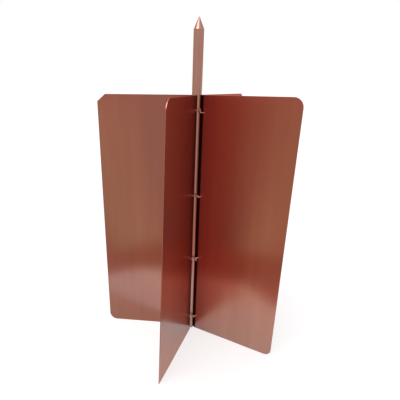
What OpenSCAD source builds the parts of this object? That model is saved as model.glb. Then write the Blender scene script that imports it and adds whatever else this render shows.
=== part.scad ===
// Earth electrode: a pointed ground rod held between two bent copper sheets.
// The origin is on the rod's axis at the bottom edges of the fins, and +Z points up along the rod.
// An azimuth is counted from +X towards +Y, and the front fin points nearly along -Y.

/* [Rod] */
// Diameter of the ground rod
rod_d = 14.3; // [10:0.1:20]
// Length of rod that stands out above the fins, point included
rod_out = 98.5; // [50:0.5:250]
// Length of the turned point
point_l = 15; // [8:0.5:30]
// Radius of the blunt tip
tip_r = 1; // [0.5:0.1:2]
// Chamfer of the sawn bottom end
rod_chamfer = 0.6; // [0.2:0.1:1.5]

/* [Sheets] */
// Height of the two sheets
fin_h = 400; // [300:1:800]
// Distance from the rod's axis to the outer edge of each fin
fin_reach = 150.5; // [90:0.5:250]
// Thickness of the sheets
sheet_t = 1; // [0.8:0.1:1.6]
// Radius at mid-thickness of the small bends at the roots of the fins
root_bend_r = 3; // [2.5:0.1:4]
// Clearance between the rod and the groove that hugs it
seat_gap = 0.15; // [0.1:0.05:0.5]

/* [Fin directions] */
// Azimuth of the left fin at mid-height
left_az = 176.7; // [170:0.1:184]
// Azimuth of the front fin at mid-height
front_az = 254.4; // [248:0.1:262]
// Azimuth of the right fin at mid-height
right_az = -27.7; // [-34:0.1:-20]
// Azimuth of the back fin at mid-height
back_az = 56.8; // [50:0.1:64]
// How far the plane of the left fin passes behind the rod's axis
left_shift = 3.5; // [0:0.1:4]
// How far the plane of the front fin passes to the right of the rod's axis
front_shift = 3; // [0:0.1:4]
// Twist of the left fin from its top to its bottom, in degrees
left_twist = 1.1; // [-5:0.1:5]
// Twist of the front fin from its top to its bottom, in degrees
front_twist = 4.1; // [-5:0.1:5]
// Twist of the right fin from its top to its bottom, in degrees
right_twist = -1; // [-5:0.1:5]

/* [Corners] */
// Width of the cut across the top corners of the left and back fins
top_cut_w = 12.5; // [4:0.5:25]
// Height of the cut across the top corners of the left and back fins
top_cut_h = 10.5; // [4:0.5:25]
// Radius of the left fin's bottom corner
left_bottom_r = 13; // [3:0.5:25]
// Radius of the front fin's top corner
front_top_r = 15.5; // [3:0.5:25]
// Radius of the front fin's bottom corner
front_bottom_r = 1.5; // [1:0.5:25]
// Radius of the right fin's top corner
right_top_r = 13.5; // [3:0.5:25]
// Radius of the right fin's bottom corner
right_bottom_r = 11; // [3:0.5:25]

/* [Wire ties] */
// Diameter of the tie wire
wire_d = 1.6; // [1:0.1:2]
// Distance from the rod's axis to the tie holes in the fins
hole_s = 12.5; // [12:0.1:16]
// Clearance round the wire in its holes
hole_gap = 0.4; // [0.4:0.1:1]
// Clearance between the wire and what it is pulled round
wrap_gap = 0.15; // [0.1:0.05:0.5]
// Height of the lowest tie at the front fin
tie_z1 = 28.5; // [20:0.5:60]
// Height of the second tie at the front fin
tie_z2 = 142.5; // [110:0.5:180]
// Height of the third tie at the front fin
tie_z3 = 252.5; // [220:0.5:280]
// Distance of the top tie below the top edge of the sheets
tie_top = 20.5; // [12:0.5:60]
// Turns of the twisted ends of each tie
knot_turns = 1; // [0.5:0.25:3]
// Length of one turn of the twisted ends, in wire diameters
knot_pitch = 3; // [3:0.1:5]

/* [Hidden] */

copper = [0.72, 0.43, 0.33];
rod_copper = [0.74, 0.52, 0.42];
wire_copper = [0.85, 0.60, 0.50];

rod_r = rod_d / 2;
rod_l = fin_h + rod_out;
half_t = sheet_t / 2;
wire_r = wire_d / 2;
hole_r = wire_r + hole_gap;

// The groove's mid-thickness radius, and the distance of the root bends' centres from the axis
groove_r = rod_r + seat_gap + half_t;
bend_at = groove_r + root_bend_r;

// The two twisted ends of a tie lie this far from their common axis, just clear of each other
twist_r = wire_r + wrap_gap / 2;

// How stiffly the wire keeps its heading, in lengths of the stretch that it bends over
stiffness = 1.2;

// Each tie is [height at the front fin, drop to the right fin, azimuth of its twisted ends, their lift]
TIES = [
    [tie_z1, 1.5, -75, 15],
    [tie_z2, 0, -66, -25],
    [tie_z3, 3, -66, 0],
    [fin_h - tie_top, 3.5, -100, 45]
];

// Length of the cutters that pierce the tie holes, and overlap of shapes that are joined
punch_l = 4 * sheet_t;
lap = 0.01;

// Sides of the wire, rings in each stretch of a tie and rings in each turn of its ends
wire_sides = 8;
span_steps = 5;
end_steps = 10;

// A corner is [width, height] where it is cut straight across and [radius] where it is rounded
TOP_CUT = [top_cut_w, top_cut_h];

// Each fin is [azimuth, shift of its plane along its counter-clockwise normal, twist, top corner,
// bottom corner]
LEFT = [left_az, -left_shift, left_twist, TOP_CUT, [left_bottom_r]];
FRONT = [front_az, front_shift, -front_twist, [front_top_r], [front_bottom_r]];
RIGHT = [right_az, 0, right_twist, [right_top_r], [right_bottom_r]];
BACK = [back_az, 0, 0, TOP_CUT, [right_bottom_r]];

// Strips across each fin, points round each root bend and round the groove, even levels up a sheet
// and levels round each corner
strip_steps = 2;
bend_steps = 5;
groove_steps = 8;
level_steps = 8;
corner_steps = 5;

// A list in rising order, each value once
function sorted(list) =
    len(list) < 2 ? list
    : concat(sorted([for (x = list) if (x < list[0]) x]), [list[0]],
             sorted([for (x = list) if (x > list[0]) x]));

// How far a corner draws the edge in at distance d from the end of the fin
function drawn_in(corner, d) =
    let (w = corner[0], h = corner[len(corner) - 1])
    d >= h ? 0 : len(corner) == 2 ? w * (1 - d / h) : w - sqrt(2 * w * d - d * d);

// Distances from the end of the fin at which a corner's outline is worked out
function corner_levels(corner) =
    len(corner) == 2 ? [corner[1]]
    : [for (k = [1:corner_steps]) corner[0] * (1 - cos(90 * k / corner_steps))];

// The heights at which a sheet's section is worked out
function levels(first, second) = sorted(concat(
    [for (k = [0:level_steps]) fin_h * k / level_steps],
    [for (fin = [first, second]) each [for (d = corner_levels(fin[3])) fin_h - d]],
    [for (fin = [first, second]) each corner_levels(fin[4])]
));

// Distance from the axis to a fin's outer edge at height z
function edge_at(fin, z) = fin_reach - drawn_in(fin[3], fin_h - z) - drawn_in(fin[4], z);

// A fin's azimuth at height z: it turns evenly from half its twist one way to half the other way
function azimuth(fin, z) = fin[0] + fin[2] * (0.5 - z / fin_h);
function along(az) = [cos(az), sin(az)];
function across(az) = [-sin(az), cos(az)];

// The point of a fin's middle surface at distance s from the axis and height z
function on_fin(fin, s, z) =
    let (az = azimuth(fin, z))
    concat(s * along(az) + fin[1] * across(az), [z]);

// One side of a sheet's section at height z, at distance side from its middle line. The line comes
// in along the first fin, turns away round a root bend, hugs the rod, turns out again round the
// second bend and leaves along the second fin. A positive side faces the rod.
function section_side(first, second, z, side) =
    let (
        a = azimuth(first, z),
        b = azimuth(second, z),
        a_off = first[1] + root_bend_r,
        b_off = second[1] - root_bend_r,
        a_s = sqrt(bend_at * bend_at - a_off * a_off),
        b_s = sqrt(bend_at * bend_at - b_off * b_off),
        a_mid = a_s * along(a) + a_off * across(a),
        b_mid = b_s * along(b) + b_off * across(b),
        a_dir = a + asin(a_off / bend_at),
        b_dir = b + asin(b_off / bend_at),
        r = root_bend_r + side
    )
    concat(
        [for (k = [0:strip_steps - 1])
            (a_s + (edge_at(first, z) - a_s) * (1 - k / strip_steps)) * along(a)
            + (first[1] - side) * across(a)],
        [for (k = [0:bend_steps])
            let (t = a - 90 + (a_dir - a - 90) * k / bend_steps) a_mid + r * along(t)],
        [for (k = [1:groove_steps - 1])
            (groove_r - side) * along(a_dir + (b_dir - a_dir) * k / groove_steps)],
        [for (k = [0:bend_steps])
            let (t = b_dir + 180 - (b_dir - b + 90) * k / bend_steps) b_mid + r * along(t)],
        [for (k = [1:strip_steps])
            (b_s + (edge_at(second, z) - b_s) * k / strip_steps) * along(b)
            + (second[1] + side) * across(b)]
    );

// The closed outline of a sheet's section at height z
function section(first, second, z) =
    let (
        rod_side = section_side(first, second, z, half_t),
        far_side = section_side(first, second, z, -half_t),
        n = len(far_side)
    )
    concat(far_side, [for (k = [1:n]) rod_side[n - k]]);

// A sheet: its section at every level, joined level to level. The triangles of its two faces lie
// exactly opposite each other, so a twisted fin keeps its thickness.
module sheet_blank(first, second) {
    heights = levels(first, second);
    last = len(heights) - 1;
    rings = [for (z = heights) section(first, second, z)];
    n = len(rings[0]);
    points = [for (k = [0:last]) for (p = rings[k]) concat(p, [heights[k]])];
    sides = [for (k = [0:last - 1]) for (i = [0:n - 1])
        let (j = (i + 1) % n, low = k * n, high = low + n)
        each (i < n / 2
            ? [[low + i, high + i, high + j], [low + i, high + j, low + j]]
            : [[low + i, high + i, low + j], [high + i, high + j, low + j]])];
    bottom = [for (i = [0:n / 2 - 2]) [i, i + 1, n - 2 - i, n - 1 - i]];
    top = [for (quad = bottom) [for (k = [3:-1:0]) last * n + quad[k]]];
    polyhedron(points, concat(bottom, top, sides));
}

// Places a child drawn in a fin's own plane, X outwards and Y up, at distance s and height z
module in_fin(fin, s, z)
    translate(on_fin(fin, s, z)) rotate([90, 0, azimuth(fin, z)]) children();

// A tie sinks evenly round the rod from the front fin, clockwise from above, to the right fin
function turned(fin) = (front_az - fin[0]) / (front_az - right_az);
function tie_height(tie, fin) = tie[0] - tie[1] * turned(fin);

module tie_holes(fin)
    for (tie = TIES)
        in_fin(fin, hole_s, tie_height(tie, fin))
            cylinder(h = punch_l, r = hole_r, center = true, $fn = 32);

module left_front_sheet() color(copper) difference() {
    sheet_blank(LEFT, FRONT);
    tie_holes(LEFT);
    tie_holes(FRONT);
}

module right_back_sheet() color(copper) difference() {
    sheet_blank(RIGHT, BACK);
    tie_holes(RIGHT);
    tie_holes(BACK);
}

// The rod is turned about its axis: chamfered foot, straight shank, long point with a blunt tip
module ground_rod() color(rod_copper) {
    tip_z = rod_l - tip_r;
    slope = atan((rod_r - tip_r) / point_l);
    rotate_extrude($fn = 64) {
        polygon([
            [0, 0], [rod_r - rod_chamfer, 0], [rod_r, rod_chamfer], [rod_r, rod_l - point_l],
            [tip_r * cos(slope), tip_z + tip_r * sin(slope)], [0, tip_z + tip_r * sin(slope)]
        ]);
        intersection() {
            translate([0, tip_z]) circle(tip_r, $fn = 32);
            translate([0, tip_z + tip_r * sin(slope) - lap]) square(tip_r);
        }
    }
}

function unit(v) = v / norm(v);
function flat(p) = [p[0], p[1]];

// Points from p0 towards p1 on a cubic that leaves along d0 and arrives along d1; p1 is left off
function bend(p0, d0, p1, d1, steps) =
    let (pull = stiffness * norm(p1 - p0))
    [for (k = [0:steps - 1]) let (t = k / steps, u = 1 - t)
        u * u * (1 + 2 * t) * p0 + t * t * (3 - 2 * t) * p1 + t * u * pull * (u * d0 - t * d1)];

// The way a wire travels through a fin's hole, clockwise seen from above
function through(fin, z) = concat(-across(azimuth(fin, z)), [0]);

// The middle of the stretch of wire between two holes: pulled straight, or round a drum of radius r
function wrap_point(p0, p1, r) =
    let (mid = (flat(p0) + flat(p1)) / 2, reach = max(norm(mid), r))
    concat(reach * unit(mid), [(p0[2] + p1[2]) / 2]);

// Clockwise heading at a wrap point
function round_rod(p) = concat(unit([p[1], -p[0]]), [0]);

// Points of one of the two twisted ends, from the knot's root outwards: a helix about the knot's axis
function twisted_end(root, az, lift, start) =
    let (
        axis = [cos(lift) * cos(az), cos(lift) * sin(az), sin(lift)],
        level = [-sin(az), cos(az), 0],
        up = cross(axis, level),
        steps = ceil(knot_turns * end_steps)
    )
    [for (k = [0:steps]) let (t = k / steps, turn = start - 360 * knot_turns * t)
        root + t * knot_turns * knot_pitch * wire_d * axis
        + twist_r * (cos(turn) * level + sin(turn) * up)];

// The whole route of a tie's wire: in from one twisted end, through the front, left, back and right
// fins, and out to the other twisted end
function tie_route(tie) =
    let (
        fins = [FRONT, LEFT, BACK, RIGHT],
        holes = [for (fin = fins) on_fin(fin, hole_s, tie_height(tie, fin))],
        ways = [for (k = [0:3]) through(fins[k], holes[k][2])],
        left_mid = wrap_point(holes[0], holes[1], groove_r + half_t + wire_r + wrap_gap),
        back_mid = wrap_point(holes[1], holes[2], rod_r + wire_r + wrap_gap),
        right_mid = wrap_point(holes[2], holes[3], groove_r + half_t + wire_r + wrap_gap),
        root = wrap_point(holes[3], holes[0], rod_r + wire_r + wrap_gap),
        first = twisted_end(root, tie[2], tie[3], 90),
        last = twisted_end(root, tie[2], tie[3], 270),
        n = len(first),
        away = unit(first[0] - first[1]),
        back = unit(last[1] - last[0])
    )
    concat(
        [for (k = [1:n - 1]) first[n - k]],
        bend(first[0], away, holes[0], ways[0], span_steps),
        bend(holes[0], ways[0], left_mid, round_rod(left_mid), span_steps),
        bend(left_mid, round_rod(left_mid), holes[1], ways[1], span_steps),
        bend(holes[1], ways[1], back_mid, round_rod(back_mid), span_steps),
        bend(back_mid, round_rod(back_mid), holes[2], ways[2], span_steps),
        bend(holes[2], ways[2], right_mid, round_rod(right_mid), span_steps),
        bend(right_mid, round_rod(right_mid), holes[3], ways[3], span_steps),
        bend(holes[3], ways[3], last[0], back, span_steps),
        last
    );

// The heading at each point of a route
function headings(route) =
    let (n = len(route))
    [for (k = [0:n - 1]) unit(route[min(k + 1, n - 1)] - route[max(k - 1, 0)])];

// A sideways direction at each point, carried along from the one before so that the tube never twists
function sideways(ways, done = [[0, 0, 1]]) =
    let (k = len(done) - 1, last = done[k], way = ways[k])
    k == len(ways) ? [for (i = [1:k]) done[i]]
    : sideways(ways, concat(done, [unit(last - (last * way) * way)]));

// A round tube along a route, closed by a flat cut at each end
module tube(route, r) {
    ways = headings(route);
    sides = sideways(ways);
    m = wire_sides;
    n = len(route);
    points = [for (k = [0:n - 1]) for (i = [0:m - 1])
        let (t = 360 * i / m)
        route[k] + r * (cos(t) * sides[k] + sin(t) * cross(ways[k], sides[k]))];
    wall = [for (k = [0:n - 2]) for (i = [0:m - 1])
        let (j = (i + 1) % m, a = k * m, b = a + m)
        each [[a + i, b + i, b + j], [a + i, b + j, a + j]]];
    start = [for (i = [0:m - 1]) i];
    end = [for (i = [0:m - 1]) (n - 1) * m + m - 1 - i];
    polyhedron(points, concat([start, end], wall));
}

module wire_tie(k) color(wire_copper) tube(tie_route(TIES[k]), wire_r);

ground_rod();
left_front_sheet();
right_back_sheet();
wire_tie(0);  // wire_tie_1
wire_tie(1);  // wire_tie_2
wire_tie(2);  // wire_tie_3
wire_tie(3);  // wire_tie_4
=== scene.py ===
import math

import bmesh
import bpy
import numpy as np
from mathutils import Matrix, Vector


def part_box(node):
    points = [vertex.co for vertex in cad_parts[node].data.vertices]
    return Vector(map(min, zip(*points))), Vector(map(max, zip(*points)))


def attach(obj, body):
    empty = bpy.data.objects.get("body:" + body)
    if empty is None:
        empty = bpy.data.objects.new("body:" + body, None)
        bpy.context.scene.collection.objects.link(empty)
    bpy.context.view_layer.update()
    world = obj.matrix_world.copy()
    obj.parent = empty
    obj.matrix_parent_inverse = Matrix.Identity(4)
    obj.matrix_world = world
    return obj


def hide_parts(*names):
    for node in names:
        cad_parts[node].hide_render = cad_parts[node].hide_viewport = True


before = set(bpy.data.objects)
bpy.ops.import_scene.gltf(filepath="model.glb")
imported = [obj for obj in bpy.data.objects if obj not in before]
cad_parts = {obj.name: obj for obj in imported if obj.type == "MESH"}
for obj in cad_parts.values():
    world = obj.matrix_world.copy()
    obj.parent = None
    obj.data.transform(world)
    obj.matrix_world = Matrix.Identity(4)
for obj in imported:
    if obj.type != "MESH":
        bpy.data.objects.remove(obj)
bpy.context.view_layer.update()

MM = 0.001
DEG = math.pi / 180

# Sizes that the frame gives
ROD_LOW, ROD_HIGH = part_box("ground_rod")
ROD_R = (ROD_HIGH.x - ROD_LOW.x) / 2
ROD_L = ROD_HIGH.z
FIN_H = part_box("left_front_sheet")[1].z

# Sizes of the rod's ends
POINT_L = 15 * MM
TIP_R = 1 * MM
ROD_CHAMFER = 0.6 * MM
SHOULDER_R = 0.5 * MM
TURNED_MARKS = 7
TURNED_MARK_DEPTH = 0.1 * MM

# Sizes of the sheets
SHEET_T = 1 * MM
FIN_REACH = 150.5 * MM
ROOT_BEND_R = 3 * MM
SEAT_GAP = 0.15 * MM
RIM_R = 0.15 * MM
RIM_ANGLE = 50 * DEG
GROOVE_R = ROD_R + SEAT_GAP + SHEET_T / 2
BEND_AT = GROOVE_R + ROOT_BEND_R
CREVICE_FADE = 1.2 * MM

# The slow waves of a sheet, each (height in millimetres, length to a radian): two across a fin, and
# one up it that leans as it goes out. They start some way out and grow from there.
LONG_WAVE = (0.22, 24 * MM)
SHORT_WAVE = (0.06, 9.5 * MM)
UP_WAVE = (0.25, 75 * MM)
UP_WAVE_LEAN = 90 * MM
WAVES_START = 25 * MM
WAVES_GROWTH = 45 * MM

# A corner is (width, height, rounded)
TOP_CUT = (12.5 * MM, 10.5 * MM, False)


def rounded(radius):
    """A corner that is a quarter circle of this radius."""
    return (radius, radius, True)


# A fin's azimuth is at mid-height, its shift is sideways from the rod's axis, and its twist is from
# its top to its bottom. Its phase sets where the slow waves of the sheet fall.
LEFT = dict(azimuth=176.7 * DEG, shift=-3.5 * MM, twist=1.1 * DEG, phase=176.7 * DEG,
            top=TOP_CUT, bottom=rounded(13 * MM))
FRONT = dict(azimuth=254.4 * DEG, shift=3 * MM, twist=-4.1 * DEG, phase=254.4 * DEG,
             top=rounded(15.5 * MM), bottom=rounded(1.5 * MM))
RIGHT = dict(azimuth=-27.7 * DEG, shift=0, twist=-1 * DEG, phase=-27.7 * DEG,
             top=rounded(13.5 * MM), bottom=rounded(11 * MM))
BACK = dict(azimuth=56.8 * DEG, shift=0, twist=0, phase=252 * DEG,
            top=TOP_CUT, bottom=rounded(11 * MM))

# The wire ties: height at the front fin, drop to the right fin, azimuth and lift of the twisted ends
TIES = {
    "wire_tie_1": (28.5 * MM, 1.5 * MM, -75 * DEG, 15 * DEG),
    "wire_tie_2": (142.5 * MM, 0, -66 * DEG, -25 * DEG),
    "wire_tie_3": (252.5 * MM, 3 * MM, -66 * DEG, 0),
    "wire_tie_4": (FIN_H - 20.5 * MM, 3.5 * MM, -100 * DEG, 45 * DEG),
}
WIRE_R = 0.8 * MM
HOLE_S = 12.5 * MM
HOLE_R = WIRE_R + 0.4 * MM
WRAP_GAP = 0.15 * MM
KNOT_TURNS = 1
KNOT_PITCH = 6 * WIRE_R
TWIST_R = WIRE_R + WRAP_GAP / 2
NIPPED_R = 0.8 * WIRE_R
STIFFNESS = 1.2

# How finely the surfaces are divided. RIM_ROW is the least step between rows round a corner, and
# RING_GAP is how far from a change of slope the rod has an extra ring.
CORNER_ROWS = 8
RIM_ROW = 0.3 * MM
SPAN_ROWS = 16
FOOT_ROWS = SPAN_ROWS // 4
TOP_ROWS = 2
OUTER_COLUMNS = 30
BEND_COLUMNS = 8
GROOVE_COLUMNS = 18
RIM_SEGMENTS = 2
ROD_SIDES = 96
SHOULDER_RINGS = 5
RINGS_PER_MARK = 8
TIP_RINGS = 8
RING_GAP = 0.4 * MM
WIRE_SIDES = 16
SPAN_STEPS = 14
KNOT_STEPS = 2 * SPAN_STEPS

# The grid round a tie hole: lines across its window, of which the inner square becomes the hole. In
# shares of the window, its outline is just past WINDOW_EDGE and the other columns are far outside.
WINDOW = 1.6 * MM
WINDOW_LINES = np.array([-1, -0.8, -0.6, -0.3, 0, 0.3, 0.6, 0.8, 1])
WINDOW_HOLE = 0.6
WINDOW_EDGE = 1 - 1e-6
FAR_OUTSIDE = 9.0

# Points closer than SAME_PLACE are merged, and what divides is kept above a tiny value
SAME_PLACE = 1e-6
TINY = 1e-9
TINY_AREA = 1e-12


def along(angle):
    """Unit vector at an azimuth, in plan."""
    return np.stack([np.cos(angle), np.sin(angle)], -1)


def across(angle):
    """Unit vector a quarter turn counter-clockwise from an azimuth, in plan."""
    return np.stack([-np.sin(angle), np.cos(angle)], -1)


def fin_azimuth(fin, z):
    """The azimuth at mid-height, plus half the twist at the bottom and less half of it at the top."""
    return fin["azimuth"] + fin["twist"] * (0.5 - z / FIN_H)


def tie_height(tie, fin):
    """Height at the front fin, less the drop in the share of the way round to the right fin."""
    front_height, drop = tie[:2]
    turned = (FRONT["azimuth"] - fin["azimuth"]) / (FRONT["azimuth"] - RIGHT["azimuth"])
    return front_height - drop * turned


def drawn_in(corner, distance):
    """How far a corner draws the edge in at a distance from the end of the fin: in proportion along a
    straight cut, and from radius to none along a quarter circle when it is rounded."""
    width, height, is_round = corner
    d = np.clip(distance, 0, height)
    if is_round:
        return width - np.sqrt(2 * width * d - d * d)
    return width * (1 - d / height)


def edge_at(fin, z):
    """Distance from the rod's axis to the fin's outer edge."""
    return FIN_REACH - drawn_in(fin["top"], FIN_H - z) - drawn_in(fin["bottom"], z)


def corner_rows(corner):
    """Distances from the end of the fin: even steps of angle round the corner, each at least one
    rim row past the one before."""
    steps = np.arange(CORNER_ROWS + 1)
    return np.maximum(corner[1] * (1 - np.cos(steps / CORNER_ROWS * math.pi / 2)), steps * RIM_ROW)


def fin_rows(fin):
    """Heights of a fin's rows: round the bottom corner, through each tie's window with even rows
    between the windows, and round the top corner."""
    heights = sorted(tie_height(tie, fin) for tie in TIES.values())
    rows = [corner_rows(fin["bottom"])]
    for height in heights:
        below, above = rows[-1][-1], height - WINDOW
        count = SPAN_ROWS if height > heights[0] else FOOT_ROWS
        rows.append(np.linspace(below, above, count + 2)[1:-1])
        rows.append(height + WINDOW * WINDOW_LINES)
    top = FIN_H - corner_rows(fin["top"])[::-1]
    rows.append(np.linspace(rows[-1][-1], top[0], TOP_ROWS + 2)[1:-1])
    return np.concatenate(rows + [top])


def sheet_waves(s, z, phase):
    """Rolled sheet is never quite flat: two slow sine waves across the fin and one up it, each a
    fraction of a millimetre. Their sum is multiplied by a square that grows from nothing near the
    fin's root to one further out."""
    growth = np.clip((s - WAVES_START) / WAVES_GROWTH, 0, 1) ** 2
    long_wave = LONG_WAVE[0] * np.sin(s / LONG_WAVE[1] + phase)
    short_wave = SHORT_WAVE[0] * np.sin(s / SHORT_WAVE[1] + 2 * phase)
    up_wave = UP_WAVE[0] * np.sin(z / UP_WAVE[1] + phase + s / UP_WAVE_LEAN)
    return MM * growth * (long_wave + short_wave + up_wave)


def fin_surface(fin, s, z):
    """Points of a fin's middle surface: out from the axis along its azimuth, shifted across it."""
    angle = fin_azimuth(fin, z)
    offset = fin["shift"] + sheet_waves(s, z, fin["phase"])
    plan = s[..., None] * along(angle) + offset[..., None] * across(angle)
    return np.concatenate([plan, z[..., None]], -1)


def open_windows(s, z, fin):
    """Moves the grid lines in each tie hole's window so that the window's inner square becomes a
    circle: between the square's outline and the window's, a point lies in proportion between the
    circle and the window's outline. Returns the moved grid."""
    for tie in TIES.values():
        a = (s - HOLE_S) / WINDOW
        b = (z - tie_height(tie, fin)) / WINDOW
        reach = np.maximum(np.maximum(np.abs(a), np.abs(b)), TINY)
        share = np.clip((reach - WINDOW_HOLE) / (1 - WINDOW_HOLE), 0, 1)
        length = np.maximum(np.hypot(a, b), TINY)
        inside = reach < WINDOW_EDGE
        from_circle = HOLE_R * (1 - share) / length
        from_square = WINDOW * share / reach
        s = np.where(inside, HOLE_S + a * (from_circle + from_square), s)
        z = np.where(inside, tie_height(tie, fin) + b * (from_circle + from_square), z)
    return s, z


def fin_grid(fin, rows):
    """Distances from the axis and heights of a fin's grid: the windows' columns at its root, then even
    columns to its outer edge. Also returns which cells are solid."""
    window = HOLE_S + WINDOW * WINDOW_LINES
    outer = np.linspace(0, 1, OUTER_COLUMNS + 1)[1:]
    start = window[-1]
    z = np.repeat(rows[:, None], len(window) + len(outer), 1)
    s = np.concatenate([np.repeat(window[None], len(rows), 0),
                        start + (edge_at(fin, rows)[:, None] - start) * outer], 1)
    s_line = np.concatenate([WINDOW_LINES, np.full(len(outer), FAR_OUTSIDE)])
    in_hole = np.zeros((len(rows) - 1, len(s_line) - 1), bool)
    middle_s = (s_line[1:] + s_line[:-1]) / 2
    middle_z = (rows[1:] + rows[:-1]) / 2
    for tie in TIES.values():
        near = np.abs(middle_z - tie_height(tie, fin)) / WINDOW < WINDOW_HOLE
        in_hole |= near[:, None] & (np.abs(middle_s) < WINDOW_HOLE)[None]
    s, z = open_windows(s, z, fin)
    return s, z, ~in_hole


def root_bend(fin, z, side):
    """The small bend between a fin and the groove that hugs the rod: an arc about a centre that lies
    on the fin's far side, from the fin's plane to the groove. side is 1 for the first fin of a sheet
    and -1 for the second."""
    angle = fin_azimuth(fin, z)
    off = fin["shift"] + side * ROOT_BEND_R
    out = math.sqrt(BEND_AT ** 2 - off ** 2)
    turn = math.asin(off / BEND_AT)
    centre = out * along(angle) + off * across(angle)
    share = np.linspace(0, 1, BEND_COLUMNS + 1)
    start = angle - side * math.pi / 2
    sweep = turn - side * math.pi / 2
    arc = start[:, None] + sweep * share
    plan = centre[:, None] + ROOT_BEND_R * along(arc)
    return np.concatenate([plan, np.repeat(z[:, None, None], len(share), 1)], -1), angle + turn


def sheet_surface(first, second):
    """Middle surface of a sheet, rows up it and columns along its section: in along the first fin,
    round its root bend, along the groove about the rod, round the second root bend and out along the
    second fin. Also returns which cells are solid, and the distances along the section and up."""
    rows_1, rows_2 = fin_rows(first), fin_rows(second)
    s_1, z_1, solid_1 = fin_grid(first, rows_1)
    s_2, z_2, solid_2 = fin_grid(second, rows_2)
    bend_1, turn_1 = root_bend(first, rows_1, 1)
    bend_2, turn_2 = root_bend(second, rows_2, -1)
    share = np.linspace(0, 1, GROOVE_COLUMNS + 1)[1:-1]
    angle = turn_1[:, None] + (turn_2 - turn_1)[:, None] * share
    height = rows_1[:, None] + (rows_2 - rows_1)[:, None] * share
    groove = np.concatenate([GROOVE_R * along(angle), height[..., None]], -1)
    points = np.concatenate([fin_surface(first, s_1, z_1)[:, ::-1], bend_1, groove,
                             bend_2[:, ::-1], fin_surface(second, s_2, z_2)], 1)
    cells = points.shape[1] - 1
    solid = np.ones((len(rows_1) - 1, cells), bool)
    solid[:, :solid_1.shape[1]] = solid_1[:, ::-1]
    solid[:, -solid_2.shape[1]:] = solid_2
    steps = np.linalg.norm(np.diff(points[:, :, :2], axis=1), axis=-1)
    run = np.concatenate([np.zeros((len(points), 1)), np.cumsum(steps, 1)], 1)
    run -= run[:, [cells // 2]]
    return points, solid, np.stack([run, points[..., 2]], -1)


def crevice_share(points):
    """How deep a point of the rod side lies in the crevice beside the rod: fully within the root
    bends, and fading out over a short stretch of the flat fin. This sets the painted shade there."""
    reach = np.hypot(points[..., 0], points[..., 1])
    return np.clip((BEND_AT + CREVICE_FADE - reach) / CREVICE_FADE, 0, 1)


def sheet_shell(points, solid):
    """Both faces of a sheet, half its thickness to either side of its middle surface along the
    normal, with a wall of quads between them along every open edge of the grid. Returns the points,
    the quads and, for each point, its depth in the crevice."""
    normal = np.cross(np.gradient(points, axis=1), np.gradient(points, axis=0))
    normal /= np.maximum(np.linalg.norm(normal, axis=-1), TINY_AREA)[..., None]
    far, near = points + normal * SHEET_T / 2, points - normal * SHEET_T / 2
    count = points.shape[0] * points.shape[1]
    face = grid_quads(*points.shape[:2])[solid]
    edges = np.stack([face, np.roll(face, -1, 1)], -1).reshape(-1, 2)
    code = edges[:, 0] * count + edges[:, 1]
    facing = edges[:, 1] * count + edges[:, 0]
    rim = edges[~np.isin(code, facing)]
    wall = np.stack([rim[:, 1], rim[:, 0], rim[:, 0] + count, rim[:, 1] + count], -1)
    quads = np.concatenate([face, face[:, ::-1] + count, wall])
    crevice = np.stack([np.zeros(points.shape[:2]), crevice_share(near)])
    return np.stack([far, near]), quads, crevice


def grid_quads(rows, columns, closed=False):
    """Corner numbers of the cells of a grid stored row by row; a closed grid joins its last column
    to its first."""
    k = np.arange(rows - 1)[:, None]
    i = np.arange(columns if closed else columns - 1)[None]
    j = (i + 1) % columns
    corners = [k * columns + i, k * columns + j, (k + 1) * columns + j, (k + 1) * columns + i]
    return np.stack(corners, -1)


def turned_surface(profile, sides):
    """A profile of radius and height, turned about the Z axis."""
    angle = np.linspace(0, 2 * math.pi, sides, endpoint=False)
    plan = profile[:, None, :1] * along(angle)[None]
    height = np.repeat(profile[:, None, 1:], sides, 1)
    return np.concatenate([plan, height], -1)


def tube_surface(route, radii, sides):
    """A circle carried along a route: each ring lies square to the heading there, and its first point
    keeps the direction of the ring before. Both ends close on a point."""
    heading = np.gradient(route, axis=0)
    heading /= np.linalg.norm(heading, axis=1)[:, None]
    side = np.empty_like(route)
    last = np.array([0, 0, 1.0])
    for k, way in enumerate(heading):
        last = last - (last @ way) * way
        last /= np.linalg.norm(last)
        side[k] = last
    up = np.cross(heading, side)
    angle = np.linspace(0, 2 * math.pi, sides, endpoint=False)[None, :, None]
    ring = np.cos(angle) * side[:, None] + np.sin(angle) * up[:, None]
    rings = route[:, None] + radii[:, None, None] * ring
    ends = [np.repeat(route[[k], None], sides, 1) for k in (0, -1)]
    return np.concatenate([ends[0], rings, ends[1]])


def make_piece(name, points, quads, node, material, uv=None, crevice=None):
    """Puts a surface into a mesh that stands for its CAD node and rides with it. Points that no face
    uses are left out, and points in one place are merged."""
    used, quads = np.unique(quads.reshape(-1, 4), return_inverse=True)
    quads = quads.reshape(-1, 4)
    mesh = bpy.data.meshes.new(name)
    mesh.from_pydata(points.reshape(-1, 3)[used], [], quads)
    if uv is not None:
        layer = mesh.uv_layers.new(name="along_sheet")
        at_corners = uv.reshape(-1, 2)[used][quads.ravel()]
        layer.data.foreach_set("uv", at_corners.astype(np.float32).ravel())
    if crevice is not None:
        depth = mesh.attributes.new("crevice", "FLOAT", "POINT")
        depth.data.foreach_set("value", crevice.ravel()[used].astype(np.float32))
    form = bmesh.new()
    form.from_mesh(mesh)
    bmesh.ops.remove_doubles(form, verts=form.verts, dist=SAME_PLACE)
    bmesh.ops.recalc_face_normals(form, faces=form.faces)
    form.to_mesh(mesh)
    form.free()
    mesh.shade_smooth()
    mesh.materials.append(material)
    piece = bpy.data.objects.new(name, mesh)
    bpy.context.scene.collection.objects.link(piece)
    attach(piece, "root")
    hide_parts(node)
    return piece


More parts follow.
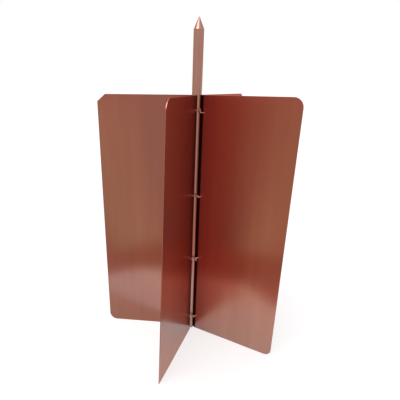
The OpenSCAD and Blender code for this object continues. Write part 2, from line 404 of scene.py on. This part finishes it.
def make_sheet(name, first, second, node, material):
    """A bent sheet: both its faces and their rim, with its cut edges rounded off a little."""
    middle, solid, uv = sheet_surface(first, second)
    points, quads, crevice = sheet_shell(middle, solid)
    piece = make_piece(name, points, quads, node, material, np.stack([uv, uv]),
                       crevice)
    rim = piece.modifiers.new("rounded_rim", "BEVEL")
    rim.width = RIM_R
    rim.segments = RIM_SEGMENTS
    rim.limit_method = "ANGLE"
    rim.angle_limit = RIM_ANGLE
    rim.use_clamp_overlap = False
    rim.harden_normals = True


def rod_profile():
    """Radius and height up the rod: the sawn foot with its chamfer, the shank, a small round shoulder,
    the cone of the point and its blunt tip. Rings close to each change of slope keep the long faces
    between them evenly shaded. The marks of turning are a row of cosine waves cut into the cone."""
    slope = math.atan((ROD_R - TIP_R) / POINT_L)
    shoulder = ROD_L - POINT_L
    foot = [(0, 0), (ROD_R - ROD_CHAMFER - RING_GAP, 0), (ROD_R - ROD_CHAMFER, 0),
            (ROD_R, ROD_CHAMFER), (ROD_R, ROD_CHAMFER + RING_GAP)]
    turn = np.linspace(0, slope, SHOULDER_RINGS)
    reach = SHOULDER_R * math.tan(slope / 2)
    bend = np.stack([ROD_R - SHOULDER_R * (1 - np.cos(turn)),
                     shoulder - reach + SHOULDER_R * np.sin(turn)], -1)
    shank = np.array([(ROD_R, shoulder - reach - RING_GAP)])
    down = np.array([np.sin(slope), -np.cos(slope)]) * RING_GAP
    tip_turn = np.linspace(slope, math.pi / 2, TIP_RINGS)
    tip = np.stack([TIP_R * np.cos(tip_turn), ROD_L - TIP_R + TIP_R * np.sin(tip_turn)], -1)
    share = np.linspace(0, 1, RINGS_PER_MARK * TURNED_MARKS + 1)[:, None]
    cone = (bend[-1] - down) * (1 - share) + (tip[0] + down) * share
    depth = TURNED_MARK_DEPTH * (1 - np.cos(2 * math.pi * TURNED_MARKS * share)) / 2
    cone = cone - depth * np.array([math.cos(slope), math.sin(slope)])
    return np.concatenate([foot, shank, bend, cone, tip])


def make_rod(name, node, material):
    """The ground rod, turned about the Z axis."""
    points = turned_surface(rod_profile(), ROD_SIDES)
    quads = grid_quads(*points.shape[:2], closed=True)
    make_piece(name, points, quads, node, material)


def unit(v):
    """A vector shortened or stretched to length one."""
    return v / np.linalg.norm(v)


def wire_bend(p0, d0, p1, d1):
    """Points from p0 towards p1 on a cubic that leaves along d0 and arrives along d1, with slopes of
    the distance between the two points times the wire's stiffness."""
    pull = STIFFNESS * np.linalg.norm(p1 - p0)
    t = np.linspace(0, 1, SPAN_STEPS, endpoint=False)[:, None]
    u = 1 - t
    return u * u * (1 + 2 * t) * p0 + t * t * (3 - 2 * t) * p1 + t * u * pull * (u * d0 - t * d1)


def wrap_point(p0, p1, radius):
    """The middle of the wire between two holes: pulled straight, or round a drum of that radius."""
    middle = (p0 + p1) / 2
    reach = np.hypot(middle[0], middle[1])
    return np.array([*(middle[:2] * max(reach, radius) / reach), middle[2]])


def round_rod(p):
    """Clockwise heading at a wrap point."""
    return unit(np.array([p[1], -p[0], 0]))


def twisted_end(root, azimuth, lift, start):
    """A helix about the knot's axis, from its root outwards."""
    axis = np.array([math.cos(lift) * math.cos(azimuth), math.cos(lift) * math.sin(azimuth),
                     math.sin(lift)])
    level = np.array([-math.sin(azimuth), math.cos(azimuth), 0])
    up = np.cross(axis, level)
    t = np.linspace(0, 1, KNOT_STEPS)[:, None]
    turn = start - 2 * math.pi * KNOT_TURNS * t
    circle = np.cos(turn) * level + np.sin(turn) * up
    return root + t * KNOT_TURNS * KNOT_PITCH * axis + TWIST_R * circle


def tie_route(tie):
    """The whole route of a tie's wire: in from one twisted end, through the front, left, back and
    right fins, and out to the other twisted end. Between two fins it lies on the sheet where they
    are one sheet's, and on the rod where they are not."""
    fins = [FRONT, LEFT, BACK, RIGHT]
    heights = [tie_height(tie, fin) for fin in fins]
    holes = [fin_surface(fin, np.array(HOLE_S), np.array(z)) for fin, z in zip(fins, heights)]
    ways = [np.array([*-across(fin_azimuth(fin, z)), 0]) for fin, z in zip(fins, heights)]
    on_sheet = GROOVE_R + SHEET_T / 2 + WIRE_R + WRAP_GAP
    on_rod = ROD_R + WIRE_R + WRAP_GAP
    drums = [on_sheet, on_rod, on_sheet]
    root = wrap_point(holes[3], holes[0], on_rod)
    azimuth, lift = tie[2:]
    first = twisted_end(root, azimuth, lift, math.pi / 2)[::-1]
    last = twisted_end(root, azimuth, lift, 3 * math.pi / 2)
    route = [first[:-1], wire_bend(first[-1], unit(first[-1] - first[-2]), holes[0], ways[0])]
    for k, drum in enumerate(drums):
        middle = wrap_point(holes[k], holes[k + 1], drum)
        route.append(wire_bend(holes[k], ways[k], middle, round_rod(middle)))
        route.append(wire_bend(middle, round_rod(middle), holes[k + 1], ways[k + 1]))
    route.append(wire_bend(holes[3], ways[3], last[0], unit(last[1] - last[0])))
    return np.concatenate(route + [last])


def make_tie(node, tie, material):
    """A wire tie: its route with a round section, and nipped ends that are a little rounded."""
    route = tie_route(tie)
    radii = np.full(len(route), WIRE_R)
    radii[[0, -1]] = NIPPED_R
    points = tube_surface(route, radii, WIRE_SIDES)
    quads = grid_quads(*points.shape[:2], closed=True)
    make_piece(node + "_wire", points, quads, node, material)


# Finishes. Grain and clouds are noise, in cells to the metre along X, Y and Z, and the grain's depth
# is that of its bump. A metal's tones are the two colours that it drifts between.
SHEET_FINISH = dict(roughness=(0.225, 0.25), grain=(900, 900, 12), grain_depth=0.0006 * MM,
                    clouds=(70, 70, 5))
ROD_FINISH = dict(roughness=(0.20, 0.27), grain=(1400, 1400, 30), grain_depth=0.004 * MM,
                  clouds=(90, 90, 14))
WIRE_FINISH = dict(roughness=(0.22, 0.32), grain=(900, 900, 900), grain_depth=0.006 * MM,
                   clouds=(60, 60, 60))
GRAIN_DETAIL = 4
CLOUD_DETAIL = 3
LEFT_COPPER = ((0.68, 0.29, 0.22), (0.63, 0.265, 0.20))
RIGHT_COPPER = ((0.68, 0.245, 0.165), (0.63, 0.22, 0.15))
ROD_COPPER = ((0.80, 0.57, 0.42), (0.75, 0.53, 0.39))
WIRE_COPPER = ((0.86, 0.56, 0.46), (0.80, 0.49, 0.39))

# The sheets: how far reflections spread sideways, their tint at grazing angles, the painted shade at
# the bend with the distances from it where that is full and has gone, and the painted crevice shade
SHEET_SPREAD = 0.75
SHEET_GRAZING = (0.95, 0.75, 0.70)
BEND_SHADE = (0.86, 0.78, 0.84)
BEND_SHADE_FULL = 12 * MM
BEND_SHADE_GONE = 48 * MM
CREVICE_SHADE = (0.045, 0.016, 0.014)

# The rod: the tint at grazing angles, and for each painted shade the heights where it begins and is
# full and its tint: darker and redder between the sheets, and darker on the turned point to tone
# down the lamp's glint
ROD_GRAZING = (0.95, 0.72, 0.64)
ROD_PAINTED_SHADES = [(FIN_H + 10 * MM, FIN_H / 4, (0.85, 0.50, 0.50)),
             (ROD_L - POINT_L - MM, ROD_L - POINT_L + MM, (0.70, 0.60, 0.60))]

# Most of a noise's values lie between these two
NOISE_LOW, NOISE_HIGH = 0.3, 0.7


def new_material(name):
    """A material with nothing but its output. Returns it, its nodes, its links and the output."""
    material = bpy.data.materials.new(name)
    material.use_nodes = True
    nodes = material.node_tree.nodes
    nodes.clear()
    output = nodes.new("ShaderNodeOutputMaterial")
    return material, nodes, material.node_tree.links, output


def stretched_noise(nodes, links, stretch, detail):
    """Noise on Object coordinates. The stretch is how many of its cells go into a metre each way."""
    place = nodes.new("ShaderNodeTexCoord")
    mapping = nodes.new("ShaderNodeMapping")
    mapping.inputs["Scale"].default_value = stretch
    noise = nodes.new("ShaderNodeTexNoise")
    noise.inputs["Scale"].default_value = 1
    noise.inputs["Detail"].default_value = detail
    links.new(place.outputs["Object"], mapping.inputs["Vector"])
    links.new(mapping.outputs["Vector"], noise.inputs["Vector"])
    return noise.outputs["Fac"]


def ramp_between(nodes, links, value, low, high):
    """Mixes two colours by a noise value."""
    ramp = nodes.new("ShaderNodeValToRGB")
    ramp.color_ramp.elements[0].position = NOISE_LOW
    ramp.color_ramp.elements[1].position = NOISE_HIGH
    ramp.color_ramp.elements[0].color = (*low, 1)
    ramp.color_ramp.elements[1].color = (*high, 1)
    links.new(value, ramp.inputs["Fac"])
    return ramp.outputs["Color"]


def value_between(nodes, links, value, low, high):
    """Maps a noise value to a range."""
    scaled = nodes.new("ShaderNodeMapRange")
    scaled.inputs["From Min"].default_value = NOISE_LOW
    scaled.inputs["From Max"].default_value = NOISE_HIGH
    scaled.inputs["To Min"].default_value = low
    scaled.inputs["To Max"].default_value = high
    links.new(value, scaled.inputs["Value"])
    return scaled.outputs["Result"]


def copper_shader(name, tones, roughness, grain, grain_depth, clouds):
    """Copper metal: its colour drifts between two tones in soft clouds, and a fine grain along the
    drawing or rolling direction varies its roughness and its surface."""
    material, nodes, links, output = new_material(name)
    shader = nodes.new("ShaderNodeBsdfPrincipled")
    shader.inputs["Metallic"].default_value = 1.0
    cloud_noise = stretched_noise(nodes, links, clouds, CLOUD_DETAIL)
    grain_noise = stretched_noise(nodes, links, grain, GRAIN_DETAIL)
    colour = ramp_between(nodes, links, cloud_noise, *tones)
    rough = value_between(nodes, links, grain_noise, *roughness)
    bump = nodes.new("ShaderNodeBump")
    bump.inputs["Strength"].default_value = 1.0
    bump.inputs["Distance"].default_value = grain_depth
    links.new(colour, shader.inputs["Base Color"])
    links.new(rough, shader.inputs["Roughness"])
    links.new(grain_noise, bump.inputs["Height"])
    links.new(bump.outputs["Normal"], shader.inputs["Normal"])
    links.new(shader.outputs["BSDF"], output.inputs["Surface"])
    return material, shader, colour


def tinted(nodes, links, colour, share, tint, kind="MULTIPLY"):
    """Mixes a tint into a colour by a share from 0 to 1."""
    mix = nodes.new("ShaderNodeMix")
    mix.data_type = "RGBA"
    mix.blend_type = kind
    mix.inputs["B"].default_value = (*tint, 1)
    links.new(share, mix.inputs["Factor"])
    links.new(colour, mix.inputs["A"])
    return mix.outputs["Result"]


def rolled_sheet(name, tones):
    """Rolled copper sheet: the rolling grain runs up the sheet, so reflections spread sideways. It
    keeps a copper tint at grazing angles. Painted shade darkens and reddens it towards the bend, and
    painted shade makes it black in the crevice beside the rod."""
    material, shader, colour = copper_shader(name, tones, **SHEET_FINISH)
    nodes, links = material.node_tree.nodes, material.node_tree.links
    shader.inputs["Anisotropic"].default_value = SHEET_SPREAD
    shader.inputs["Specular Tint"].default_value = (*SHEET_GRAZING, 1)
    tangent = nodes.new("ShaderNodeTangent")
    tangent.direction_type = "UV_MAP"
    tangent.uv_map = "along_sheet"
    links.new(tangent.outputs["Tangent"], shader.inputs["Tangent"])
    # Painted shade: darker and redder towards the bend, by the distance along the sheet from it
    on_sheet = nodes.new("ShaderNodeUVMap")
    on_sheet.uv_map = "along_sheet"
    parts = nodes.new("ShaderNodeSeparateXYZ")
    from_bend = nodes.new("ShaderNodeMath")
    from_bend.operation = "ABSOLUTE"
    bend_shade_share = nodes.new("ShaderNodeMapRange")
    bend_shade_share.interpolation_type = "SMOOTHSTEP"
    bend_shade_share.inputs["From Min"].default_value = BEND_SHADE_GONE
    bend_shade_share.inputs["From Max"].default_value = BEND_SHADE_FULL
    links.new(on_sheet.outputs["UV"], parts.inputs["Vector"])
    links.new(parts.outputs["X"], from_bend.inputs[0])
    links.new(from_bend.outputs["Value"], bend_shade_share.inputs["Value"])
    colour = tinted(nodes, links, colour, bend_shade_share.outputs["Result"], BEND_SHADE)
    # Painted shade: black in the crevice beside the rod, by each point's depth in it
    depth = nodes.new("ShaderNodeAttribute")
    depth.attribute_name = "crevice"
    colour = tinted(nodes, links, colour, depth.outputs["Fac"], CREVICE_SHADE, "MIX")
    links.new(colour, shader.inputs["Base Color"])
    return material


def drawn_rod():
    """The rod's drawn copper skin, still copper at grazing angles. Painted shade makes it darker and
    redder between the sheets than above them, and darker on the turned point to tone down the lamp's
    glint there."""
    material, shader, colour = copper_shader("drawn_copper", ROD_COPPER, **ROD_FINISH)
    nodes, links = material.node_tree.nodes, material.node_tree.links
    shader.inputs["Specular Tint"].default_value = (*ROD_GRAZING, 1)
    place = nodes.new("ShaderNodeTexCoord")
    parts = nodes.new("ShaderNodeSeparateXYZ")
    links.new(place.outputs["Object"], parts.inputs["Vector"])
    # Painted shade: darker and redder between the sheets, and darker on the turned point against the
    # lamp's glint
    for begins, full, tint in ROD_PAINTED_SHADES:
        share = nodes.new("ShaderNodeMapRange")
        share.inputs["From Min"].default_value = begins
        share.inputs["From Max"].default_value = full
        links.new(parts.outputs["Z"], share.inputs["Value"])
        colour = tinted(nodes, links, colour, share.outputs["Result"], tint)
    links.new(colour, shader.inputs["Base Color"])
    return material


# The studio: a pale board that the object stands on, a darker strip in front of it, the floor around
# them and the light. The tones are what polished metal shows of each, by the share of the way round
# the object. The horizon's tone starts to rise at the first height of a direction and would be white
# at the second, which no direction has.
WORLD_LIGHT = 0.6
KEY_LIGHT = 0.35
FLOOR_LIGHT = WORLD_LIGHT + KEY_LIGHT
FLOOR_WHITE = 1.10
HORIZON_TONE = (0.48, 0.32, 0.34)
HORIZON_RISE = (0.15, 1.2)
BOARD_COLOUR = (0.40, 0.40, 0.40)
BOARD_TONES = {0: (0.51, 0.56, 0.55), 0.055: (0.53, 0.56, 0.53), 0.09: (0.65, 0.80, 0.91),
               0.13: (0.65, 0.76, 0.80), 0.16: (0.73, 0.87, 0.92), 0.2: (0.82, 0.98, 1.00),
               0.26: (0.75, 0.98, 1.09), 0.42: (0.69, 1.03, 1.18), 0.7: (0.66, 0.78, 0.85),
               1: (0.51, 0.56, 0.55)}
STRIP_COLOUR = (0.12, 0.09, 0.08)
STRIP_TONES = {0: (0.41, 0.27, 0.24), 0.11: (0.41, 0.27, 0.24), 0.18: (0.36, 0.22, 0.13),
               0.3: (0.51, 0.33, 0.35)}
FLOOR_COLOUR = (0.12, 0.09, 0.08)
FLOOR_TONES = {0: (0.40, 0.34, 0.30), 0.12: (0.39, 0.21, 0.15), 0.13: (0.38, 0.28, 0.22),
               0.145: (0.38, 0.34, 0.29), 0.16: (0.54, 0.64, 0.52), 0.178: (0.50, 0.44, 0.33),
               0.19: (0.52, 0.45, 0.33), 0.205: (0.64, 0.54, 0.36), 0.225: (0.22, 0.20, 0.34),
               0.272: (0.12, 0.10, 0.26), 0.305: (0.66, 0.42, 0.42), 0.32: (0.65, 0.49, 0.42),
               0.36: (0.37, 0.29, 0.29), 0.45: (0.20, 0.17, 0.18), 0.55: (0.70, 0.70, 0.62),
               0.7: (0.45, 0.42, 0.38), 1: (0.40, 0.34, 0.30)}
BOARD_OUTLINE = [(-0.9, -0.10), (-0.25, -0.13), (-0.204, -0.156), (-0.155, -0.189), (-0.12, -0.20),
                 (-0.07, -0.187), (0.9, -0.193), (0.9, 0.9), (-0.9, 0.9)]
STRIP_OUTLINE = [(-0.9, -0.2), (-0.25, -0.26), (-0.20, -0.292), (-0.17, -0.323), (-0.135, -0.37),
                 (0.9, -0.37), (0.9, -0.1), (-0.9, -0.05)]
FLOOR_REACH = 30
FLOOR_OUTLINE = [(-FLOOR_REACH, -FLOOR_REACH), (FLOOR_REACH, -FLOOR_REACH),
                 (FLOOR_REACH, FLOOR_REACH), (-FLOOR_REACH, FLOOR_REACH)]
BOARD_Z = -0.1 * MM
STRIP_Z = -1 * MM
FLOOR_Z = -2 * MM
KEY_TOWARD = (0.45, 0.45, -1)
KEY_SPREAD = 50 * DEG


def stage_material(name, colour, in_metal):
    """A matt floor colour, lifted to white for the camera and glass, and to tones of its own for
    metal. The lift lights nothing, and the floor keeps the object's shadow. The tones in metal go
    round the object with the direction: 0 is -X, 0.25 is -Y and 0.5 is +X."""
    material, nodes, links, output = new_material(name)
    matt = nodes.new("ShaderNodeBsdfDiffuse")
    matt.inputs["Color"].default_value = (*colour, 1)
    path = nodes.new("ShaderNodeLightPath")
    place = nodes.new("ShaderNodeTexCoord")
    round_object = nodes.new("ShaderNodeTexGradient")
    round_object.gradient_type = "RADIAL"
    links.new(place.outputs["Object"], round_object.inputs["Vector"])
    surface = matt.outputs["BSDF"]
    white = {0: (FLOOR_WHITE, FLOOR_WHITE, FLOOR_WHITE)}
    for ray, tones in (("Is Camera Ray", white), ("Is Glossy Ray", in_metal),
                       ("Is Transmission Ray", white)):
        ramp = nodes.new("ShaderNodeValToRGB")
        stops = ramp.color_ramp.elements
        stops.remove(stops[1])
        for k, (share, tone) in enumerate(tones.items()):
            stop = stops.new(share) if k else stops[0]
            stop.color = (*[max(t - c * FLOOR_LIGHT, 0) for t, c in zip(tone, colour)], 1)
        glow = nodes.new("ShaderNodeEmission")
        both = nodes.new("ShaderNodeAddShader")
        links.new(round_object.outputs["Fac"], ramp.inputs["Fac"])
        links.new(ramp.outputs["Color"], glow.inputs["Color"])
        links.new(path.outputs[ray], glow.inputs["Strength"])
        links.new(surface, both.inputs[0])
        links.new(glow.outputs["Emission"], both.inputs[1])
        surface = both.outputs["Shader"]
    links.new(surface, output.inputs["Surface"])
    return material


def stage_plane(name, outline, height, material):
    """A flat stage piece with a straight-sided outline."""
    mesh = bpy.data.meshes.new(name)
    mesh.from_pydata([(x, y, height) for x, y in outline], [], [range(len(outline))])
    mesh.materials.append(material)
    plane = bpy.data.objects.new(name, mesh)
    bpy.context.scene.collection.objects.link(plane)


def build_world():
    """A plain soft light. The camera and glass see it white, and metal sees it rise from the tone of
    the far floor at the horizon towards white overhead."""
    world = bpy.data.worlds.new("soft_studio")
    bpy.context.scene.world = world
    world.use_nodes = True
    nodes, links = world.node_tree.nodes, world.node_tree.links
    nodes.clear()
    output = nodes.new("ShaderNodeOutputWorld")
    way = nodes.new("ShaderNodeTexCoord")
    height = nodes.new("ShaderNodeSeparateXYZ")
    rise = nodes.new("ShaderNodeMapRange")
    rise.inputs["From Min"].default_value = HORIZON_RISE[0]
    rise.inputs["From Max"].default_value = HORIZON_RISE[1]
    tone = nodes.new("ShaderNodeMix")
    tone.data_type = "RGBA"
    tone.inputs["A"].default_value = (*HORIZON_TONE, 1)
    tone.inputs["B"].default_value = (1, 1, 1, 1)
    links.new(way.outputs["Generated"], height.inputs["Vector"])
    links.new(height.outputs["Z"], rise.inputs["Value"])
    links.new(rise.outputs["Result"], tone.inputs["Factor"])
    path = nodes.new("ShaderNodeLightPath")
    surface = None
    for ray, colour, strength in ((None, None, WORLD_LIGHT), ("Is Glossy Ray", tone, 1),
                                  ("Is Camera Ray", None, 1), ("Is Transmission Ray", None, 1)):
        light = nodes.new("ShaderNodeBackground")
        light.inputs["Color"].default_value = (1, 1, 1, 1)
        light.inputs["Strength"].default_value = strength
        if colour:
            links.new(colour.outputs["Result"], light.inputs["Color"])
        if ray:
            mix = nodes.new("ShaderNodeMixShader")
            links.new(path.outputs[ray], mix.inputs["Fac"])
            links.new(surface, mix.inputs[1])
            links.new(light.outputs["Background"], mix.inputs[2])
            surface = mix.outputs["Shader"]
        else:
            surface = light.outputs["Background"]
    links.new(surface, output.inputs["Surface"])


def soft_sun(name, toward, spread, strength):
    """A far lamp with a wide soft disc. Its strength is the brightness that it alone gives a white
    floor."""
    down = Vector(toward).normalized()
    data = bpy.data.lights.new(name, "SUN")
    data.angle = spread
    data.energy = strength * math.pi / -down.z
    lamp = bpy.data.objects.new(name, data)
    bpy.context.scene.collection.objects.link(lamp)
    lamp.rotation_mode = "QUATERNION"
    lamp.rotation_quaternion = down.to_track_quat("-Z", "Y")


def build_studio():
    """The world, the three layers that the object stands on and the one lamp."""
    build_world()
    board = stage_material("pale_board", BOARD_COLOUR, BOARD_TONES)
    strip = stage_material("board_front_strip", STRIP_COLOUR, STRIP_TONES)
    ground = stage_material("studio_floor", FLOOR_COLOUR, FLOOR_TONES)
    stage_plane("board", BOARD_OUTLINE, BOARD_Z, board)
    stage_plane("front_strip", STRIP_OUTLINE, STRIP_Z, strip)
    stage_plane("floor", FLOOR_OUTLINE, FLOOR_Z, ground)
    soft_sun("key_light", KEY_TOWARD, KEY_SPREAD, KEY_LIGHT)


# The photograph's camera: its place in metres, its angles in degrees, its focal length and the pixel
# it points at, and the width of its sensor in millimetres
CAMERA_AT = (0, -0.5516, 0.4136)
CAMERA_YAW = -3.809
CAMERA_PITCH = -21.476
CAMERA_ROLL = 0.400
FOCAL_PX = 359.21
CENTRE_PX = (170.54, 225.80)
IMAGE_PX = 400
SENSOR_WIDTH = 36
CLIP_START = 10 * MM


def build_camera():
    """A camera turned by yaw from +Y, pitched down and rolled, with the photograph's centre."""
    data = bpy.data.cameras.new("camera")
    data.sensor_width = SENSOR_WIDTH
    data.lens = FOCAL_PX / IMAGE_PX * data.sensor_width
    data.shift_x = (IMAGE_PX / 2 - CENTRE_PX[0]) / IMAGE_PX
    data.shift_y = (CENTRE_PX[1] - IMAGE_PX / 2) / IMAGE_PX
    data.clip_start = CLIP_START
    camera = bpy.data.objects.new("camera", data)
    bpy.context.scene.collection.objects.link(camera)
    yaw, pitch, roll = (math.radians(a) for a in (CAMERA_YAW, CAMERA_PITCH, CAMERA_ROLL))
    ahead = Vector((math.sin(yaw) * math.cos(pitch), math.cos(yaw) * math.cos(pitch), math.sin(pitch)))
    level = Vector((math.cos(yaw), -math.sin(yaw), 0))
    upward = level.cross(ahead)
    right = math.cos(roll) * level + math.sin(roll) * upward
    up = -math.sin(roll) * level + math.cos(roll) * upward
    turn = Matrix((right, up, -ahead)).transposed()
    camera.matrix_world = Matrix.Translation(CAMERA_AT) @ turn.to_4x4()
    bpy.context.scene.camera = camera


left_copper = rolled_sheet("rolled_copper_left", LEFT_COPPER)
right_copper = rolled_sheet("rolled_copper_right", RIGHT_COPPER)
rod_copper = drawn_rod()
wire_copper = copper_shader("soft_copper_wire", WIRE_COPPER, **WIRE_FINISH)[0]

make_sheet("left_front_sheet_copper", LEFT, FRONT, "left_front_sheet", left_copper)
make_sheet("right_back_sheet_copper", RIGHT, BACK, "right_back_sheet", right_copper)
make_rod("ground_rod_copper", "ground_rod", rod_copper)
for node, tie in TIES.items():
    make_tie(node, tie, wire_copper)

# The hidden CAD nodes get the same materials, by the first word of their names
node_copper = {"ground": rod_copper, "wire": wire_copper, "left": left_copper, "right": right_copper}
for name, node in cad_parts.items():
    node.data.materials.clear()
    node.data.materials.append(node_copper[name.split("_")[0]])

build_studio()
build_camera()
bpy.context.scene.view_settings.view_transform = "Standard"
